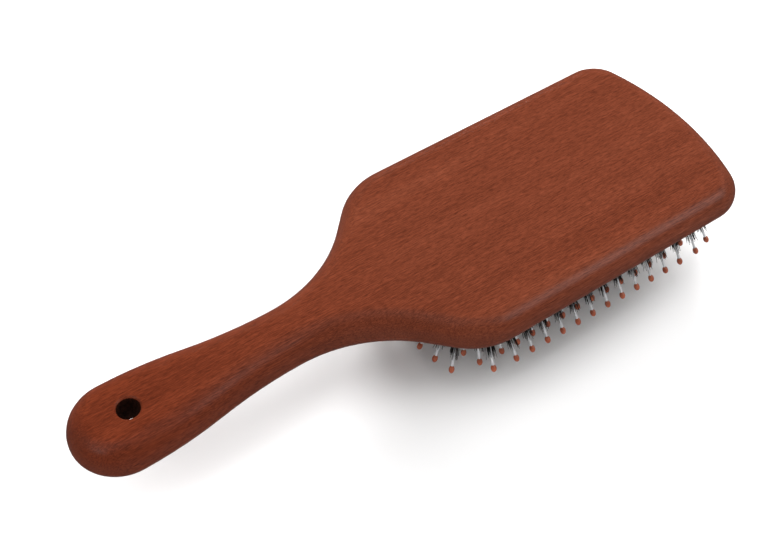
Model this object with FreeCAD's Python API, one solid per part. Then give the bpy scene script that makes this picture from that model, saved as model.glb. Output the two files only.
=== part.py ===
"""Wooden paddle hairbrush with an air-cushioned rubber pad, as the pieces it is assembled from.

Millimetres. The brush lies on the tips of its pins with its flat back up: X runs from the
handle's end to the head's far edge, Y across the brush and Z up. The origin is under the
middle of the brush, level with the lowest tips. Each piece, or each column of like pieces,
is one STEP file in parts/.
"""

import FreeCAD
import Part
import math
import os

from FreeCAD import Placement, Rotation, Vector

# Whole brush
LENGTH = 250.0
PLANK = 12.5  # thickness of the one piece of wood
PIN_LENGTH = 18.5  # rubber's surface to the end of the ball tip
CUSHION_RISE = 10.6  # crown of the cushion below the wood's lower face
HANDLE_END = -LENGTH / 2
HEAD_END = LENGTH / 2
WOOD_LOW = PIN_LENGTH + CUSHION_RISE
WOOD_TOP = WOOD_LOW + PLANK

# Outline of the wood, one side of its centre line
HANDLE_END_RADIUS = 16.4
WAIST_X = -48.9  # narrowest place of the handle
WAIST_HALF = 10.8
SWELL_SHARE = 0.49  # share of the S-curve behind the waist that is convex
NECK_RADIUS = 52.8
NECK_TURN = math.radians(46.0)
SHOULDER_RADIUS = 26.4
HEAD_HALF = 41.5
CORNER_RADIUS = 14.0
FAR_EDGE_RADIUS = 104.0

# Rounding of the wood's edges: the handle's back is rounder than the head's
BACK_ROUND_HANDLE = 8.0
BACK_ROUND_HEAD = 6.9
FRONT_ROUND_HANDLE = 4.4
FRONT_ROUND_HEAD = 5.2
ROUND_CHANGE_X = (-30.0, 0.0)  # where the handle's rounding turns into the head's

# Hanging hole
HOLE_X = HANDLE_END + 20.6
HOLE_RADIUS = 3.75
HOLE_EDGE = 0.95

# Rubber pad and the pocket that holds it
PAD_HALF_WIDTH = 32.5
PAD_NEAR = -3.0  # apex of the pad's edge towards the handle
PAD_FAR = 115.0
PAD_NEAR_BOW = 120.0
PAD_FAR_BOW = 95.0
PAD_NEAR_CORNER = 21.0
PAD_FAR_CORNER = 12.5
DOME_HEIGHT = 12.0  # crown to the pad's edge
DOME_CROWN = 0.9  # share of that fall which goes with the square of the way out
NEAR_CAP = 24.0  # lengths of the dome's rounded ends
FAR_CAP = 33.0
NEAR_SQUARENESS = 3
FAR_SQUARENESS = 5
RUBBER = 1.8
LINER = 0.6
FLANGE_WIDTH = 2.4
FLANGE = 1.6
FLANGE_LOW = PIN_LENGTH + DOME_HEIGHT + 0.1
POCKET_DEPTH = 6.7
POCKET_GAP = 0.05
VENT_RADIUS = 0.8

# Tufts
COLUMNS = 11
COLUMN_PITCH = 5.8
ROWS = 16
ROW_PITCH = 6.79
FIRST_ROW = 5.4
SIDE_TUCK = 0.7  # the outer columns' end tufts are moved in from the pad's corners
FAR_TUCK = 2.0

# One tuft: distances along its axis from the rubber's surface, positive outwards
FIT = 0.03  # play between pieces of one tuft
HOLE_PLAY = 0.05  # play round a plug in the rubber and the liner
PIN_RADIUS = 0.45
BALL_RADIUS = 1.0
BALL_LENGTH = 2.8
BALL_SOCKET = 1.1
PLUG_RADIUS = 1.25
PLUG_HEAD_RADIUS = 1.6
PLUG_HEAD = 0.9
PLUG_COLLAR_RADIUS = 1.6
PLUG_COLLAR = 0.7
PLUG_CUP_RADIUS = 0.98
PLUG_CUP_DEPTH = 1.6
BRISTLE_LENGTH = 13.5
BRISTLE_END_RADIUS = 1.5
MEMBRANE = RUBBER + LINER + 0.2


def arc(x, y, radius, start, end, z):
    """Edge of a circle about (x, y) from one angle to another."""
    ends = [
        Vector(x + radius * math.cos(a), y + radius * math.sin(a), z)
        for a in (start, (start + end) / 2, end)
    ]
    return Part.Arc(*ends).toShape()


def line(start, end, z):
    return Part.LineSegment(Vector(*start, z), Vector(*end, z)).toShape()


def closed(half):
    """Face inside a half outline and its mirror image across the centre line."""
    mirrored = [edge.mirror(Vector(0, 0, 0), Vector(0, 1, 0)) for edge in half]
    return Part.Face(Part.Wire(Part.__sortEdges__(half + mirrored)))


def brush_outline(z):
    """Face of the whole wooden body: handle, waist, shoulders and head."""
    quarter = math.pi / 2
    bulb_x = HANDLE_END + HANDLE_END_RADIUS
    run = WAIST_X - bulb_x
    fall = HANDLE_END_RADIUS - WAIST_HALF
    swing = (run**2 + fall**2) / (2 * fall)  # the S-curve's two radii together
    swell = swing * SWELL_SHARE
    hollow = swing - swell
    turn = math.asin(run / swing)
    neck_y = WAIST_HALF + NECK_RADIUS
    slope = Vector(math.cos(NECK_TURN), math.sin(NECK_TURN))
    slope_start = (
        WAIST_X + NECK_RADIUS * math.sin(NECK_TURN),
        neck_y - NECK_RADIUS * math.cos(NECK_TURN),
    )
    shoulder_y = HEAD_HALF - SHOULDER_RADIUS
    slope_end_y = shoulder_y + SHOULDER_RADIUS * math.cos(NECK_TURN)
    slope_end_x = slope_start[0] + (slope_end_y - slope_start[1]) * slope.x / slope.y
    shoulder_x = slope_end_x + SHOULDER_RADIUS * math.sin(NECK_TURN)
    corner_y = HEAD_HALF - CORNER_RADIUS
    far_x = HEAD_END - FAR_EDGE_RADIUS
    corner_x = far_x + math.sqrt((FAR_EDGE_RADIUS - CORNER_RADIUS) ** 2 - corner_y**2)
    corner_end = math.atan2(corner_y, corner_x - far_x)
    half = [
        arc(bulb_x, 0, HANDLE_END_RADIUS, 2 * quarter, quarter, z),
        arc(bulb_x, HANDLE_END_RADIUS - swell, swell, quarter, quarter - turn, z),
        arc(WAIST_X, WAIST_HALF + hollow, hollow, -quarter - turn, -quarter, z),
        arc(WAIST_X, neck_y, NECK_RADIUS, -quarter, NECK_TURN - quarter, z),
        line(slope_start, (slope_end_x, slope_end_y), z),
        arc(shoulder_x, shoulder_y, SHOULDER_RADIUS, NECK_TURN + quarter, quarter, z),
        line((shoulder_x, HEAD_HALF), (corner_x, HEAD_HALF), z),
        arc(corner_x, corner_y, CORNER_RADIUS, quarter, corner_end, z),
        arc(far_x, 0, FAR_EDGE_RADIUS, corner_end, 0, z),
    ]
    return closed(half)


def pad_outline(z, out=0.0):
    """Face of the rubber pad's outline, moved out by a margin."""
    quarter = math.pi / 2
    far_x = PAD_FAR - PAD_FAR_BOW
    near_x = PAD_NEAR + PAD_NEAR_BOW
    far_y = PAD_HALF_WIDTH - PAD_FAR_CORNER
    near_y = PAD_HALF_WIDTH - PAD_NEAR_CORNER
    far_reach = math.sqrt((PAD_FAR_BOW - PAD_FAR_CORNER) ** 2 - far_y**2)
    near_reach = math.sqrt((PAD_NEAR_BOW - PAD_NEAR_CORNER) ** 2 - near_y**2)
    far_turn = math.atan2(far_y, far_reach)
    near_turn = math.pi - math.atan2(near_y, near_reach)
    far_corner = far_x + far_reach
    near_corner = near_x - near_reach
    side = PAD_HALF_WIDTH + out
    half = [
        arc(near_x, 0, PAD_NEAR_BOW + out, math.pi, near_turn, z),
        arc(near_corner, near_y, PAD_NEAR_CORNER + out, near_turn, quarter, z),
        line((near_corner, side), (far_corner, side), z),
        arc(far_corner, far_y, PAD_FAR_CORNER + out, quarter, far_turn, z),
        arc(far_x, 0, PAD_FAR_BOW + out, far_turn, 0, z),
    ]
    return closed(half)


def pad_prism(low, high, out=0.0):
    return pad_outline(low, out).extrude(Vector(0, 0, high - low))


def way_out(x, y):
    """How far out of the dome's middle a place is: 0 on the crown, 1 at the pad's edge."""
    across = abs(y) / PAD_HALF_WIDTH
    to_near = (PAD_NEAR + NEAR_CAP - x) / NEAR_CAP
    to_far = (x - PAD_FAR + FAR_CAP) / FAR_CAP
    power = NEAR_SQUARENESS if to_near > 0 else FAR_SQUARENESS
    return (across**power + max(to_near, to_far, 0) ** power) ** (1 / power)


def dome_z(x, y):
    """Height of the cushion's outer surface, which crowns down from its edge."""
    way = way_out(x, y)
    return PIN_LENGTH + DOME_HEIGHT * (DOME_CROWN * way**2 + (1 - DOME_CROWN) * way**4)


def dome_normal(x, y):
    """Unit vector square to the cushion's surface, pointing out of the brush."""
    step = 0.01
    along = (dome_z(x + step, y) - dome_z(x - step, y)) / (2 * step)
    across = (dome_z(x, y + step) - dome_z(x, y - step)) / (2 * step)
    return Vector(along, across, -1).normalize()


def above_dome(lift):
    """Solid that fills everything above the cushion's surface raised by lift."""
    margin = 2.0
    along, across = 48, 32
    points = []
    for i in range(along + 1):
        x = PAD_NEAR - margin + (PAD_FAR - PAD_NEAR + 2 * margin) * i / along
        ys = [(PAD_HALF_WIDTH + margin) * (2 * j / across - 1) for j in range(across + 1)]
        points.append([Vector(x, y, dome_z(x, y) + lift) for y in ys])
    surface = Part.BSplineSurface()
    surface.interpolate(points)
    return surface.toShape().extrude(Vector(0, 0, PLANK + DOME_HEIGHT))


def round_at(x, handle, head):
    """Edge radius at x, easing from the handle's to the head's."""
    start, end = ROUND_CHANGE_X
    share = min(max((x - start) / (end - start), 0.0), 1.0)
    return handle + (head - handle) * share


def rounded_plank():
    """The wood before it is cut: its outline with both faces' edges rounded."""
    document = FreeCAD.newDocument()
    plank = document.addObject("Part::Feature", "plank")
    plank.Shape = brush_outline(WOOD_LOW).extrude(Vector(0, 0, PLANK))
    rounding = document.addObject("Part::Fillet", "rounding")
    rounding.Base = plank
    radii = []
    for number, edge in enumerate(plank.Shape.Edges, 1):
        first, last = (vertex.Point for vertex in (edge.Vertexes[0], edge.Vertexes[-1]))
        if abs(first.z - last.z) > PLANK / 2:
            continue
        back = first.z > WOOD_LOW + PLANK / 2
        handle = BACK_ROUND_HANDLE if back else FRONT_ROUND_HANDLE
        head = BACK_ROUND_HEAD if back else FRONT_ROUND_HEAD
        radii.append(
            (number, round_at(first.x, handle, head), round_at(last.x, handle, head))
        )
    rounding.Edges = radii
    document.recompute()
    return rounding.Shape.Solids[0]


def wood_body():
    """Handle and head in one piece, with the pad's pocket, its groove and the hole."""
    wood = rounded_plank()
    pocket = pad_prism(WOOD_LOW - 1, WOOD_LOW + POCKET_DEPTH, POCKET_GAP)
    groove = pad_prism(
        FLANGE_LOW - POCKET_GAP, FLANGE_LOW + FLANGE + POCKET_GAP, FLANGE_WIDTH + POCKET_GAP
    )
    hole = Part.makeCylinder(HOLE_RADIUS, PLANK + 2, Vector(HOLE_X, 0, WOOD_LOW - 1))
    wood = wood.cut(pocket).cut(groove).cut(hole)
    rims = [
        edge
        for edge in wood.Edges
        if isinstance(edge.Curve, Part.Circle) and abs(edge.Curve.Radius - HOLE_RADIUS) < 1e-6
    ]
    return wood.makeFillet(HOLE_EDGE, rims)


def set_tuft(shape, root, lean):
    """A tuft piece, made pointing down at the origin, set at its root and leaned."""
    piece = shape.copy()
    piece.Placement = Placement(root, Rotation(Vector(0, 0, -1), lean))
    return piece


def tufts():
    """For each column, the root and direction of each of its tufts."""
    columns = []
    for column in range(COLUMNS):
        y = (column - (COLUMNS - 1) / 2) * COLUMN_PITCH
        outermost = column in (0, COLUMNS - 1)
        rows = range(1 if outermost else 0, ROWS)
        spots = [(FIRST_ROW + ROW_PITCH * row, y) for row in rows]
        if outermost:
            tucked = y - math.copysign(SIDE_TUCK, y)
            spots[0] = (spots[0][0], tucked)
            spots[-1] = (spots[-1][0] - FAR_TUCK, tucked)
        columns.append([(Vector(x, y, dome_z(x, y)), dome_normal(x, y)) for x, y in spots])
    return columns


def membrane_holes(radius, columns):
    """Cylinders through the rubber and the liner, one for each tuft."""
    reach = 3.0
    drill = Part.makeCylinder(radius, MEMBRANE + 2 * reach, Vector(0, 0, -reach))
    return [set_tuft(drill, root, lean) for column in columns for root, lean in column]


def rubber_cushion(columns):
    """Domed skin with a side wall and a flange that sits in the wood's groove."""
    high = FLANGE_LOW + FLANGE
    skin = pad_prism(PIN_LENGTH - 1, high).common(above_dome(0))
    hollow = pad_prism(PIN_LENGTH - 1, high + 1, -RUBBER).common(above_dome(RUBBER))
    ring = pad_prism(FLANGE_LOW, high, FLANGE_WIDTH)
    vent = Part.makeCylinder(
        VENT_RADIUS, DOME_HEIGHT * 2, Vector((PAD_NEAR + FIRST_ROW) / 2, 0, PIN_LENGTH)
    )
    cushion = skin.fuse(ring).cut(hollow).cut(vent)
    return cushion.cut(Part.makeCompound(membrane_holes(PLUG_RADIUS + HOLE_PLAY, columns)))


def cushion_liner(columns):
    """Canvas sheet behind the rubber that the plugs' heads pull against."""
    margin = RUBBER + 0.5
    high = FLANGE_LOW + FLANGE
    sheet = pad_prism(PIN_LENGTH, high, -margin).common(above_dome(RUBBER + 0.05))
    sheet = sheet.cut(above_dome(RUBBER + 0.05 + LINER))
    return sheet.cut(Part.makeCompound(membrane_holes(PLUG_RADIUS + HOLE_PLAY, columns)))


def turned(profile):
    """Solid of revolution about the tuft's axis from (radius, distance) points."""
    points = [Vector(radius, 0, -distance) for radius, distance in profile]
    face = Part.Face(Part.makePolygon(points + points[:1]))
    return face.revolve(Vector(0, 0, 0), Vector(0, 0, 1), 360)


def tuft_plug():
    """Snap-in nylon plug: head behind the liner, collar outside, cup for the bristles."""
    head_low = -MEMBRANE - PLUG_HEAD
    pin_hole = PIN_RADIUS + FIT
    return turned(
        [
            (0, head_low),
            (PLUG_HEAD_RADIUS, head_low),
            (PLUG_HEAD_RADIUS, -MEMBRANE),
            (PLUG_RADIUS, -MEMBRANE),
            (PLUG_RADIUS, HOLE_PLAY),
            (PLUG_COLLAR_RADIUS, HOLE_PLAY),
            (PLUG_COLLAR_RADIUS - 0.3, PLUG_COLLAR),
            (PLUG_CUP_RADIUS, PLUG_COLLAR),
            (PLUG_CUP_RADIUS, -PLUG_CUP_DEPTH),
            (pin_hole, -PLUG_CUP_DEPTH),
            (pin_hole, -MEMBRANE),
            (0, -MEMBRANE),
        ]
    )


def pin():
    """Nylon quill from the plug's floor into the ball tip."""
    low = FIT - MEMBRANE
    high = PIN_LENGTH - BALL_LENGTH + BALL_SOCKET
    return turned([(0, low), (PIN_RADIUS, low), (PIN_RADIUS, high), (0, high)])


def ball_tip():
    """Long bead on the quill's end, with the socket that the quill fills."""
    middle = Vector(0, 0, BALL_LENGTH / 2 - PIN_LENGTH)
    end = Vector(0, 0, -PIN_LENGTH)
    oval = Part.Ellipse(end, middle + Vector(BALL_RADIUS, 0, 0), middle)
    curve = Part.ArcOfEllipse(oval, 0, math.pi).toShape()
    axis = Part.LineSegment(end, middle * 2 - end).toShape()
    face = Part.Face(Part.Wire([curve, axis]))
    bead = face.revolve(Vector(0, 0, 0), Vector(0, 0, 1), 360)
    depth = BALL_SOCKET + FIT
    mouth = Vector(0, 0, BALL_LENGTH - PIN_LENGTH - depth)
    return bead.cut(Part.makeCylinder(PIN_RADIUS + FIT, 2 * depth, mouth))


def bristle_tuft():
    """The room a tuft of boar bristles takes round its quill."""
    inside = PIN_RADIUS + FIT
    root = PLUG_CUP_RADIUS - FIT
    return turned(
        [
            (inside, FIT - PLUG_CUP_DEPTH),
            (root, FIT - PLUG_CUP_DEPTH),
            (root, PLUG_COLLAR),
            (BRISTLE_END_RADIUS, BRISTLE_LENGTH),
            (inside, BRISTLE_LENGTH),
        ]
    )


def export(name, solids):
    shape = solids[0] if len(solids) == 1 else Part.makeCompound(solids)
    valid = all(solid.isValid() and solid.ShapeType == "Solid" for solid in solids)
    print(f"{name:22s} {len(solids):3d} solids {shape.Volume:10.1f} mm3 valid {valid}")
    shape.exportStep(f"parts/{name}.step")


def main():
    os.makedirs("parts", exist_ok=True)
    columns = tufts()
    export("wood_body", wood_body().Solids)
    export("rubber_cushion", rubber_cushion(columns).Solids)
    export("cushion_liner", cushion_liner(columns).Solids)
    pieces = {
        "tuft_plugs": tuft_plug(),
        "nylon_pins": pin(),
        "ball_tips": ball_tip(),
        "boar_bristles": bristle_tuft(),
    }
    for number, column in enumerate(columns, 1):
        for name, piece in pieces.items():
            solids = [set_tuft(piece, root, lean).Solids[0] for root, lean in column]
            export(f"{name}_{number}", solids)


main()
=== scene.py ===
"""Looks of the wooden paddle hairbrush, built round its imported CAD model. Metres, in the CAD frame:
X runs from the handle to the head, Y across, Z up from the pins' tips to the flat wooden back."""

import math
import random

import bmesh
import bpy
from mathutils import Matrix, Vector


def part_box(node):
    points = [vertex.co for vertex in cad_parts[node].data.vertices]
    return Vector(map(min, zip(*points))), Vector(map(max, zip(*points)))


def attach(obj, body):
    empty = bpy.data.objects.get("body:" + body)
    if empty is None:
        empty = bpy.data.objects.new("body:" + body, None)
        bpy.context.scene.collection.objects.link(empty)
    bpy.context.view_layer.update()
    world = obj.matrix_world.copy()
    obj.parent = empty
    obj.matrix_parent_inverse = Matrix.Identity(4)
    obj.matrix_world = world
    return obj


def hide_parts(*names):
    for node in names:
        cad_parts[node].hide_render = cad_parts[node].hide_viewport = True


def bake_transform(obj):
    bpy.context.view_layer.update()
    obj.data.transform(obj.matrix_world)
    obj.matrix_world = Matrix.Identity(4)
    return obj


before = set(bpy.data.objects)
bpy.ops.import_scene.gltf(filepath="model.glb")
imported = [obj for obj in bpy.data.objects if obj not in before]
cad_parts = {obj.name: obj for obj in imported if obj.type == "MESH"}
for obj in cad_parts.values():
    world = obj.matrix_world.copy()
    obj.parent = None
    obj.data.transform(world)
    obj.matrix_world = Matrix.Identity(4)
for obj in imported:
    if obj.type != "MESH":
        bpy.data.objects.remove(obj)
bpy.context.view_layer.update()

# The pad's outline and the dome's shape, as in the CAD model
wood_low, wood_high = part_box("wood_body")
skin_low, skin_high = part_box("rubber_cushion")
FLANGE_WIDTH = 0.0024
FLANGE_HEIGHT = 0.0016
PAD_HALF_WIDTH = skin_high.y - FLANGE_WIDTH
PAD_NEAR = skin_low.x + FLANGE_WIDTH
PAD_FAR = skin_high.x - FLANGE_WIDTH
PAD_NEAR_BOW = 0.120
PAD_FAR_BOW = 0.095
PAD_NEAR_CORNER = 0.021
PAD_FAR_CORNER = 0.0125
CROWN_Z = skin_low.z
DOME_HEIGHT = 0.012
DOME_CROWN = 0.9
NEAR_CAP = 0.024
FAR_CAP = 0.033
NEAR_SQUARENESS = 3
FAR_SQUARENESS = 5
FLANGE_LOW = skin_high.z - FLANGE_HEIGHT
RUBBER = 0.0018
LINER = 0.0006

# The canvas as cut, and how far it keeps from the rubber round its edge and over its face
LINER_EDGE_GAP = 0.0005
LINER_FACE_GAP = 0.00005

# The grid of tufts, as in the CAD model
COLUMNS = 11
COLUMN_PITCH = 0.0058
ROWS = 16
ROW_PITCH = 0.00679
FIRST_ROW = 0.0054
SIDE_TUCK = 0.0007
FAR_TUCK = 0.002

# The moulded ring round a plug, as radius and height above the dome, from inside to outside
BOSS_PROFILE = [
    (0.00170, -0.0004),
    (0.00170, 0.00022),
    (0.00182, 0.00034),
    (0.00198, 0.00026),
    (0.00212, -0.0004),
]

# The hanging hole
HOLE_FROM_END = 0.0206
HOLE_X = wood_low.x + HOLE_FROM_END
HOLE_RADIUS = 0.00375
HOLE_WALL_MARGIN = 0.0001

# Bristles: how many to a tuft, their form, and the ranges that each one's sizes are drawn from
STRANDS = 44
STRAND_RADIUS = 0.00015
STRAND_TAPER = 0.55
STRAND_LENGTH = (0.0108, 0.0146)
ROOT_SPREAD = (0.00055, 0.00088)
ROOT_DEPTH = 0.0010
TIP_SPLAY = (0.0001, 0.0013)
SPLAY_POWER = 1.4
CURL = 0.00035
SPACING_JITTER = 0.3

# How finely round shapes are divided
NEAR_BOW_STEPS = 8
NEAR_CORNER_STEPS = 18
SIDE_STEPS = 44
FAR_CORNER_STEPS = 14
FAR_BOW_STEPS = 10
DOME_STEPS = 36
BOSS_SIDES = 20
STRAND_SIDES = 4
STRAND_STEPS = 6

# The handle's stain: its tint, and the places along the brush where it is full and where it ends
HANDLE_TINT = (0.90, 0.72, 0.58)
TINT_FULL_X = -0.105
TINT_END_X = 0.0

# Camera: where it stands, what it looks at, and its lens and sensor in millimetres
CAMERA_PLACE = (-0.15951, -0.21661, wood_high.z + 0.33197)
CAMERA_TARGET = (-0.00990, 0.00190, wood_high.z)
LENS = 60.55
SENSOR_WIDTH = 36.0
NEAREST_SEEN = 0.01

# Studio: where the lights aim, how far off they stand, the world's fill light and how bright the
# world looks to a camera
LIGHTS_AIM = (0.0, 0.0, 0.02)
LIGHTS_AWAY = 1.3
FILL_LIGHT = 0.12
BACKDROP = 0.9
FLOOR_SIZE = 6.0

# Each light's name, azimuth and elevation in degrees, watts, width, and whether gloss mirrors it
LIGHTS = [
    ("low_behind", 64, 24, 23, 0.6, False),
    ("low_left_behind", 150, 27, 2.5, 0.9, False),
    ("past_the_head", 0, 34, 7, 0.65, False),
    ("overhead", 0, 88, 3.5, 0.9, False),
    ("low_front", 250, 18, 2.8, 0.8, False),
    ("high_left", 170, 62, 5.5, 0.8, False),
    ("front_right", 322, 45, 4.2, 0.8, True),
    ("end_glint", 186, 44, 1.0, 0.3, True),
]

SEED = 7
rng = random.Random(SEED)


# ---------------------------------------------------------------- shapes


def arc_points(x, y, radius, start, end, count):
    """Points along a circle about (x, y), leaving out the last one."""
    angles = [start + (end - start) * i / count for i in range(count)]
    return [(x + radius * math.cos(a), y + radius * math.sin(a)) for a in angles]


def pad_outline(out):
    """Points round the pad's outline, moved out by a margin; the same number for any margin."""
    quarter = math.pi / 2
    far_x = PAD_FAR - PAD_FAR_BOW
    near_x = PAD_NEAR + PAD_NEAR_BOW
    far_y = PAD_HALF_WIDTH - PAD_FAR_CORNER
    near_y = PAD_HALF_WIDTH - PAD_NEAR_CORNER
    far_reach = math.sqrt((PAD_FAR_BOW - PAD_FAR_CORNER) ** 2 - far_y**2)
    near_reach = math.sqrt((PAD_NEAR_BOW - PAD_NEAR_CORNER) ** 2 - near_y**2)
    far_turn = math.atan2(far_y, far_reach)
    near_turn = math.pi - math.atan2(near_y, near_reach)
    far_corner = far_x + far_reach
    near_corner = near_x - near_reach
    side = PAD_HALF_WIDTH + out
    near_round = PAD_NEAR_CORNER + out
    far_round = PAD_FAR_CORNER + out
    half = arc_points(near_x, 0, PAD_NEAR_BOW + out, math.pi, near_turn, NEAR_BOW_STEPS)
    half += arc_points(near_corner, near_y, near_round, near_turn, quarter, NEAR_CORNER_STEPS)
    run = far_corner - near_corner
    half += [(near_corner + run * i / SIDE_STEPS, side) for i in range(SIDE_STEPS)]
    half += arc_points(far_corner, far_y, far_round, quarter, far_turn, FAR_CORNER_STEPS)
    half += arc_points(far_x, 0, PAD_FAR_BOW + out, far_turn, 0, FAR_BOW_STEPS)
    half.append((PAD_FAR + out, 0.0))
    return half + [(x, -y) for x, y in reversed(half[1:-1])]


def way_out(x, y):
    """How far out of the dome's middle a place is: 0 on the crown, 1 at the pad's edge."""
    across = abs(y) / PAD_HALF_WIDTH
    to_near = (PAD_NEAR + NEAR_CAP - x) / NEAR_CAP
    to_far = (x - PAD_FAR + FAR_CAP) / FAR_CAP
    power = NEAR_SQUARENESS if to_near > 0 else FAR_SQUARENESS
    return (across**power + max(to_near, to_far, 0) ** power) ** (1 / power)


def dome_z(x, y):
    """Height of the dome's outer face at a place."""
    way = way_out(x, y)
    return CROWN_Z + DOME_HEIGHT * (DOME_CROWN * way**2 + (1 - DOME_CROWN) * way**4)


def dome_normal(x, y):
    """Unit vector square to the dome, pointing out of the brush."""
    step = 1e-5
    along = (dome_z(x + step, y) - dome_z(x - step, y)) / (2 * step)
    across = (dome_z(x, y + step) - dome_z(x, y - step)) / (2 * step)
    return Vector((along, across, -1)).normalized()


def tuft_roots(column):
    """Root and direction of each tuft of a column."""
    y = (column - (COLUMNS - 1) / 2) * COLUMN_PITCH
    outermost = column in (0, COLUMNS - 1)
    spots = [(FIRST_ROW + ROW_PITCH * row, y) for row in range(1 if outermost else 0, ROWS)]
    if outermost:
        tucked = y - math.copysign(SIDE_TUCK, y)
        spots[0] = (spots[0][0], tucked)
        spots[-1] = (spots[-1][0] - FAR_TUCK, tucked)
    return [(Vector((x, y, dome_z(x, y))), dome_normal(x, y)) for x, y in spots]


def new_object(name, mesh_builder):
    """Mesh object whose geometry the builder writes into a bmesh."""
    mesh = bpy.data.meshes.new(name)
    bm = bmesh.new()
    mesh_builder(bm)
    bmesh.ops.recalc_face_normals(bm, faces=bm.faces)
    bm.to_mesh(mesh)
    bm.free()
    mesh.shade_smooth()
    obj = bpy.data.objects.new(name, mesh)
    bpy.context.scene.collection.objects.link(obj)
    return obj


def add_ring(bm, points):
    """New vertices at the points, in order."""
    return [bm.verts.new(p) for p in points]


def bridge(bm, first, second):
    """Quads between two closed rings of the same length."""
    count = len(first)
    for i in range(count):
        j = (i + 1) % count
        bm.faces.new((first[i], first[j], second[j], second[i]))


def fan(bm, ring, centre):
    """Triangles from a closed ring to one new vertex."""
    middle = bm.verts.new(centre)
    for i in range(len(ring)):
        bm.faces.new((ring[i], ring[(i + 1) % len(ring)], middle))


def dome_rings(bm, out, lift):
    """Rings over the dome, raised by lift, from an edge moved out by out; returns the first."""
    middle_x = (PAD_NEAR + PAD_FAR) / 2
    edge = pad_outline(out)
    first = last = None
    for k in range(DOME_STEPS):
        share = 1 - k / DOME_STEPS
        points = [(middle_x + (x - middle_x) * share, y * share) for x, y in edge]
        ring = add_ring(bm, [(x, y, dome_z(x, y) + lift) for x, y in points])
        if last:
            bridge(bm, last, ring)
        first = first or ring
        last = ring
    fan(bm, last, (middle_x, 0, dome_z(middle_x, 0) + lift))
    return first


def boss(bm, root, lean):
    """Low moulded ring that stands round a tuft's plug."""
    turn = Vector((0, 0, 1)).rotation_difference(lean).to_matrix()
    rings = []
    for radius, height in BOSS_PROFILE:
        points = []
        for i in range(BOSS_SIDES):
            a = 2 * math.pi * i / BOSS_SIDES
            points.append(root + turn @ Vector((radius * math.cos(a), radius * math.sin(a), height)))
        rings.append(add_ring(bm, points))
    for one, two in zip(rings, rings[1:] + rings[:1]):
        bridge(bm, one, two)


def boss_column(column):
    """The moulded rings of one column of tufts."""

    def build(bm):
        for root, lean in tuft_roots(column):
            boss(bm, root, lean)

    return build


def rubber_skin(bm):
    """Domed skin, side wall and flange as one closed shell."""
    top = FLANGE_LOW + FLANGE_HEIGHT
    outer = dome_rings(bm, 0.0, 0.0)
    wall = [(0.0, FLANGE_LOW), (FLANGE_WIDTH, FLANGE_LOW), (FLANGE_WIDTH, top), (-RUBBER, top)]
    last = outer
    for out, z in wall:
        ring = add_ring(bm, [(x, y, z) for x, y in pad_outline(out)])
        bridge(bm, last, ring)
        last = ring
    inner = dome_rings(bm, -RUBBER, RUBBER)
    bridge(bm, last, inner)


def liner_sheet(bm):
    """Canvas that lies behind the rubber."""
    edge = -RUBBER - LINER_EDGE_GAP
    face = RUBBER + LINER_FACE_GAP
    lower = dome_rings(bm, edge, face)
    upper = dome_rings(bm, edge, face + LINER)
    bridge(bm, lower, upper)


def strand(bm, start, direction, side, splay, bend, length):
    """One bristle: a thin tapering tube that leans and curls away from its root."""
    across = direction.cross(side).normalized()
    rings = []
    for k in range(STRAND_STEPS + 1):
        share = k / STRAND_STEPS
        centre = start + direction * (length * share)
        centre += side * splay * share**SPLAY_POWER + bend * share**2
        radius = STRAND_RADIUS * (1 - STRAND_TAPER * share**2)
        points = []
        for i in range(STRAND_SIDES):
            a = 2 * math.pi * i / STRAND_SIDES
            points.append(centre + (side * math.cos(a) + across * math.sin(a)) * radius)
        rings.append(add_ring(bm, points))
    for one, two in zip(rings, rings[1:]):
        bridge(bm, one, two)
    bm.faces.new(list(reversed(rings[0])))
    bm.faces.new(rings[-1])


def bristle_column(column):
    """All the bristles of one column of tufts."""

    def build(bm):
        for root, lean in tuft_roots(column):
            turn = Vector((0, 0, 1)).rotation_difference(lean).to_matrix()
            for number in range(STRANDS):
                shift = rng.uniform(-SPACING_JITTER, SPACING_JITTER)
                angle = 2 * math.pi * (number + shift) / STRANDS
                side = turn @ Vector((math.cos(angle), math.sin(angle), 0))
                spread = rng.uniform(*ROOT_SPREAD)
                start = root + side * spread - lean * ROOT_DEPTH
                bend = turn @ Vector((rng.gauss(0, CURL), rng.gauss(0, CURL), 0))
                splay = rng.uniform(*TIP_SPLAY)
                length = rng.uniform(*STRAND_LENGTH)
                strand(bm, start, lean, side, splay, bend, length)

    return build


# ---------------------------------------------------------------- materials


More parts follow.
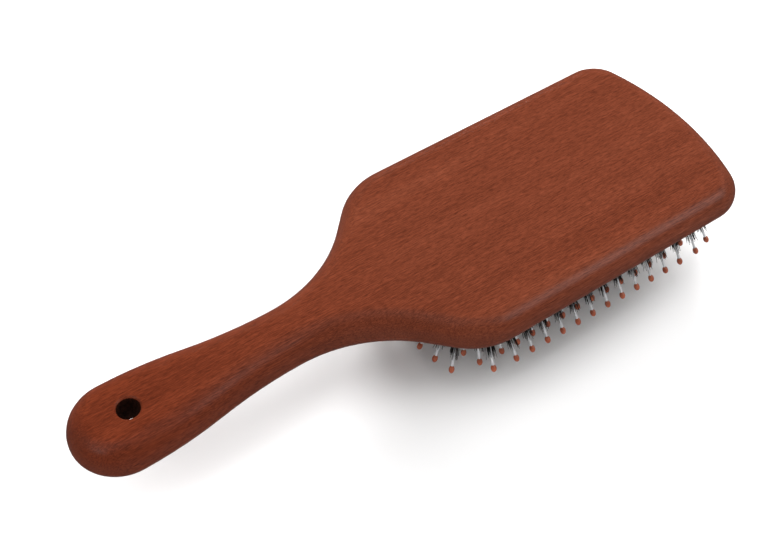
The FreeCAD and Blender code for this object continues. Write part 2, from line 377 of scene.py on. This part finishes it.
class Nodes:
    """Short forms for building a material's node tree."""

    def __init__(self, name):
        self.material = bpy.data.materials.new(name)
        self.material.use_nodes = True
        self.tree = self.material.node_tree
        self.shader = self.tree.nodes["Principled BSDF"]

    def add(self, kind, **settings):
        node = self.tree.nodes.new(kind)
        for key, value in settings.items():
            setattr(node, key, value)
        return node

    def link(self, source, target):
        self.tree.links.new(source, target)

    def set(self, **values):
        """Constants on the shader's own sockets."""
        for key, value in values.items():
            self.shader.inputs[key.replace("_", " ")].default_value = value

    def paint(self, colour):
        """Drives the base colour from a node."""
        self.link(colour, self.shader.inputs["Base Color"])

    def polish(self, roughness):
        """Drives the roughness from a node."""
        self.link(roughness, self.shader.inputs["Roughness"])

    def stretched_noise(self, scale, detail, roughness=0.6, distortion=0.0):
        """Noise in object space with a scale for each axis."""
        coordinates = self.add("ShaderNodeTexCoord")
        mapping = self.add("ShaderNodeMapping")
        mapping.inputs["Scale"].default_value = scale
        noise = self.add("ShaderNodeTexNoise")
        noise.inputs["Scale"].default_value = 1.0
        noise.inputs["Detail"].default_value = detail
        noise.inputs["Roughness"].default_value = roughness
        noise.inputs["Distortion"].default_value = distortion
        self.link(coordinates.outputs["Object"], mapping.inputs["Vector"])
        self.link(mapping.outputs["Vector"], noise.inputs["Vector"])
        return noise.outputs["Fac"]

    def ramp(self, factor, stops):
        """Colour that runs through the stops as the factor rises."""
        node = self.add("ShaderNodeValToRGB")
        elements = node.color_ramp.elements
        while len(elements) < len(stops):
            elements.new(0.5)
        for element, (place, colour) in zip(elements, stops):
            element.position = place
            element.color = (*colour, 1)
        self.link(factor, node.inputs["Fac"])
        return node.outputs["Color"]

    def mix(self, factor, first, second, blend="MIX"):
        """Two colours mixed; each value may be a socket or a constant."""
        node = self.add("ShaderNodeMix", data_type="RGBA", blend_type=blend)
        for socket, value in (("Factor", factor), ("A", first), ("B", second)):
            target = [s for s in node.inputs if s.name == socket and s.enabled][0]
            if isinstance(value, bpy.types.NodeSocket):
                self.link(value, target)
            elif isinstance(value, tuple):
                target.default_value = (*value, 1)
            else:
                target.default_value = value
        return [s for s in node.outputs if s.enabled][0]

    def map_range(self, value, low, high, to_low, to_high):
        """Value carried from one range to another, and held at its ends."""
        node = self.add("ShaderNodeMapRange")
        for socket, number in zip(("From Min", "From Max", "To Min", "To Max"),
                                  (low, high, to_low, to_high)):
            node.inputs[socket].default_value = number
        self.link(value, node.inputs["Value"])
        return node.outputs["Result"]

    def bump(self, height, distance, strength):
        """Fine relief over the whole surface."""
        node = self.add("ShaderNodeBump")
        node.inputs["Distance"].default_value = distance
        node.inputs["Strength"].default_value = strength
        self.link(height, node.inputs["Height"])
        self.link(node.outputs["Normal"], self.shader.inputs["Normal"])


def rgb(red, green, blue):
    """Linear colour from 0-255 display values."""
    return tuple(
        c / 12.92 if c <= 0.04045 else ((c + 0.055) / 1.055) ** 2.4
        for c in (red / 255, green / 255, blue / 255)
    )


def wood_material():
    """Red-brown stained hardwood with fine straight grain under a satin lacquer."""
    m = Nodes("stained_wood")
    bands = m.stretched_noise((5.0, 70, 70), detail=4, distortion=0.3)
    streaks = m.stretched_noise((110, 2600, 2600), detail=3)
    fibres = m.stretched_noise((420, 4300, 4300), detail=2)
    pores = m.stretched_noise((150, 3000, 3000), detail=2, roughness=0.5)
    colour = m.ramp(
        bands, [(0.28, rgb(95, 44, 27)), (0.50, rgb(103, 49, 31)), (0.74, rgb(112, 56, 37))]
    )
    streak_tone = m.ramp(
        streaks, [(0.30, (0.74, 0.71, 0.68)), (0.50, (1, 1, 1)), (0.72, (1.32, 1.36, 1.4))]
    )
    colour = m.mix(1.0, colour, streak_tone, "MULTIPLY")
    fibre_tone = m.ramp(fibres, [(0.32, (0.62, 0.58, 0.54)), (0.62, (1.30, 1.33, 1.36))])
    colour = m.mix(0.9, colour, fibre_tone, "MULTIPLY")
    pore_mask = m.map_range(pores, 0.29, 0.37, 0.5, 0.0)
    colour = m.mix(pore_mask, colour, rgb(52, 19, 10))
    place = m.add("ShaderNodeSeparateXYZ")
    m.link(m.add("ShaderNodeTexCoord").outputs["Object"], place.inputs["Vector"])
    handle_tone = m.map_range(place.outputs["X"], TINT_FULL_X, TINT_END_X, 1.0, 0.0)
    m.paint(m.mix(handle_tone, colour, HANDLE_TINT, "MULTIPLY"))
    m.polish(m.map_range(streaks, 0.3, 0.7, 0.36, 0.28))
    m.set(Specular_IOR_Level=0.22)
    m.bump(fibres, 0.00005, 0.4)
    return m.material


def hole_shade_material():
    """Unpolished end grain inside the hanging hole, darkened to near black with painted shade for the
    recess.
    """
    m = Nodes("hole_wall_painted_shade")
    ring_grain = m.stretched_noise((300, 2500, 500), detail=3)
    # The ramp's near-black colours are painted shade inside the hole; the noise between them is the
    # wood's grain
    m.paint(m.ramp(ring_grain, [(0.3, rgb(24, 12, 8)), (0.7, rgb(52, 26, 17))]))
    m.set(Roughness=0.95, Specular_IOR_Level=0.03)
    m.bump(ring_grain, 0.00005, 0.6)
    return m.material


def rubber_material():
    """Black moulded rubber with a fine dull skin."""
    m = Nodes("black_rubber")
    cloud = m.stretched_noise((90, 90, 90), detail=4)
    grain = m.stretched_noise((3200, 3200, 3200), detail=2)
    m.paint(m.ramp(cloud, [(0.3, rgb(20, 20, 21)), (0.7, rgb(33, 32, 32))]))
    m.polish(m.map_range(cloud, 0.3, 0.7, 0.48, 0.6))
    m.set(Specular_IOR_Level=0.45)
    m.bump(grain, 0.00003, 0.5)
    return m.material


def canvas_material():
    """Dark woven canvas."""
    m = Nodes("dark_canvas")
    warp = m.stretched_noise((2600, 400, 400), detail=1)
    weft = m.stretched_noise((400, 2600, 400), detail=1)
    weave = m.mix(0.5, warp, weft)
    m.paint(m.ramp(weave, [(0.35, rgb(40, 38, 36)), (0.65, rgb(84, 80, 74))]))
    m.set(Roughness=0.9, Sheen_Weight=0.3)
    m.bump(weave, 0.0001, 0.8)
    return m.material


def plug_material():
    """Matt black moulded nylon."""
    m = Nodes("black_nylon")
    grain = m.stretched_noise((1500, 1500, 1500), detail=2)
    m.paint(m.ramp(grain, [(0.3, rgb(16, 16, 17)), (0.7, rgb(30, 30, 31))]))
    m.set(Roughness=0.42)
    m.bump(grain, 0.00002, 0.5)
    return m.material


def pin_material():
    """Smoky translucent nylon of the pins."""
    m = Nodes("clear_nylon")
    cloud = m.stretched_noise((500, 500, 500), detail=3)
    m.paint(m.ramp(cloud, [(0.3, rgb(206, 207, 211)), (0.7, rgb(242, 242, 244))]))
    m.set(Roughness=0.2, Transmission_Weight=0.1, IOR=1.53)
    return m.material


def tip_material():
    """Glossy copper-brown beads."""
    m = Nodes("brown_bead")
    cloud = m.stretched_noise((420, 420, 420), detail=3)
    m.paint(m.ramp(cloud, [(0.3, rgb(146, 70, 45)), (0.7, rgb(188, 102, 70))]))
    m.set(Roughness=0.28, Coat_Weight=0.4, Coat_Roughness=0.12)
    return m.material


def bristle_material():
    """Near-black boar bristle, a little different from strand to strand."""
    m = Nodes("boar_bristle")
    each_strand = m.add("ShaderNodeNewGeometry").outputs["Random Per Island"]
    m.paint(m.ramp(
        each_strand, [(0.0, rgb(9, 7, 7)), (0.8, rgb(20, 16, 14)), (1.0, rgb(44, 34, 28))]
    ))
    m.set(Roughness=0.45, Specular_IOR_Level=0.25)
    return m.material


def floor_material():
    """Plain pale matt floor."""
    m = Nodes("pale_floor")
    m.set(Base_Color=(0.96, 0.96, 0.96, 1), Roughness=0.9, Specular_IOR_Level=0.1)
    return m.material


def dress(obj, material):
    """Makes the material the object's only one."""
    obj.data.materials.clear()
    obj.data.materials.append(material)


# ---------------------------------------------------------------- the brush


def line_hole(wood):
    """Gives the wall of the hanging hole its own material, painted near black with the shade inside
    the hole.
    """
    # The hole's material carries painted shade: its wall is coloured near black
    wood.data.materials.append(hole_shade_material())
    reach = HOLE_RADIUS + HOLE_WALL_MARGIN
    for face in wood.data.polygons:
        from_axis = math.hypot(face.center.x - HOLE_X, face.center.y)
        if from_axis < reach:
            face.material_index = 1


def build_brush():
    """Dresses the CAD nodes and adds the soft pieces."""
    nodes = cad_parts
    wood, rubber, canvas = wood_material(), rubber_material(), canvas_material()
    plug, pin, bead, hair = plug_material(), pin_material(), tip_material(), bristle_material()
    dress(nodes["wood_body"], wood)
    line_hole(nodes["wood_body"])

    skin = new_object("rubber_cushion_skin", rubber_skin)
    dress(skin, rubber)
    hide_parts("rubber_cushion")
    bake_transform(skin)

    liner = new_object("cushion_liner_canvas", liner_sheet)
    dress(liner, canvas)
    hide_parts("cushion_liner")
    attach(liner, "cushion_field")

    for column in range(COLUMNS):
        number = column + 1
        dress(nodes[f"tuft_plugs_{number}"], plug)
        dress(nodes[f"nylon_pins_{number}"], pin)
        dress(nodes[f"ball_tips_{number}"], bead)
        strands = new_object(f"bristle_strands_{number}", bristle_column(column))
        dress(strands, hair)
        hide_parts(f"boar_bristles_{number}")
        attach(strands, f"column_{number}")
        bosses = new_object(f"cushion_bosses_{number}", boss_column(column))
        dress(bosses, rubber)
        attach(bosses, f"column_{number}")


# ---------------------------------------------------------------- studio


def soft_light(name, azimuth, elevation, power, width, mirrored):
    """Round light aimed at the brush; the azimuth is counted from +X towards +Y."""
    turn, climb = math.radians(azimuth), math.radians(elevation)
    way = Vector((math.cos(turn) * math.cos(climb), math.sin(turn) * math.cos(climb), math.sin(climb)))
    data = bpy.data.lights.new(name, "AREA")
    data.shape = "DISK"
    data.size = width
    data.energy = power
    light = bpy.data.objects.new(name, data)
    bpy.context.scene.collection.objects.link(light)
    light.location = Vector(LIGHTS_AIM) + way * LIGHTS_AWAY
    light.rotation_euler = (-way).to_track_quat("-Z", "Y").to_euler()
    light.visible_glossy = mirrored


def build_floor():
    """Floor that gloss doesn't mirror, so that it leaves no white rim on the lacquer."""

    def plane(bm):
        bmesh.ops.create_grid(bm, x_segments=1, y_segments=1, size=FLOOR_SIZE / 2)

    floor = new_object("floor", plane)
    dress(floor, floor_material())
    floor.visible_glossy = False


def build_world():
    """Even fill light, with a backdrop that looks paler than the light that it gives."""
    world = bpy.data.worlds.new("studio")
    bpy.context.scene.world = world
    world.use_nodes = True
    background = world.node_tree.nodes["Background"]
    background.inputs["Strength"].default_value = 1.0
    seen = world.node_tree.nodes.new("ShaderNodeLightPath").outputs["Is Camera Ray"]
    shade = world.node_tree.nodes.new("ShaderNodeMapRange")
    shade.inputs["To Min"].default_value = FILL_LIGHT
    shade.inputs["To Max"].default_value = BACKDROP
    world.node_tree.links.new(seen, shade.inputs["Value"])
    world.node_tree.links.new(shade.outputs["Result"], background.inputs["Color"])


def build_camera():
    """The scene's only camera."""
    scene = bpy.context.scene
    camera = bpy.data.objects.new("camera", bpy.data.cameras.new("camera"))
    scene.collection.objects.link(camera)
    camera.data.lens = LENS
    camera.data.sensor_width = SENSOR_WIDTH
    camera.data.clip_start = NEAREST_SEEN
    camera.location = CAMERA_PLACE
    aim = Vector(CAMERA_TARGET) - Vector(CAMERA_PLACE)
    camera.rotation_euler = aim.to_track_quat("-Z", "Y").to_euler()
    scene.camera = camera


build_brush()
bpy.context.scene.view_settings.view_transform = "Standard"
build_floor()
build_world()
for light in LIGHTS:
    soft_light(*light)
build_camera()
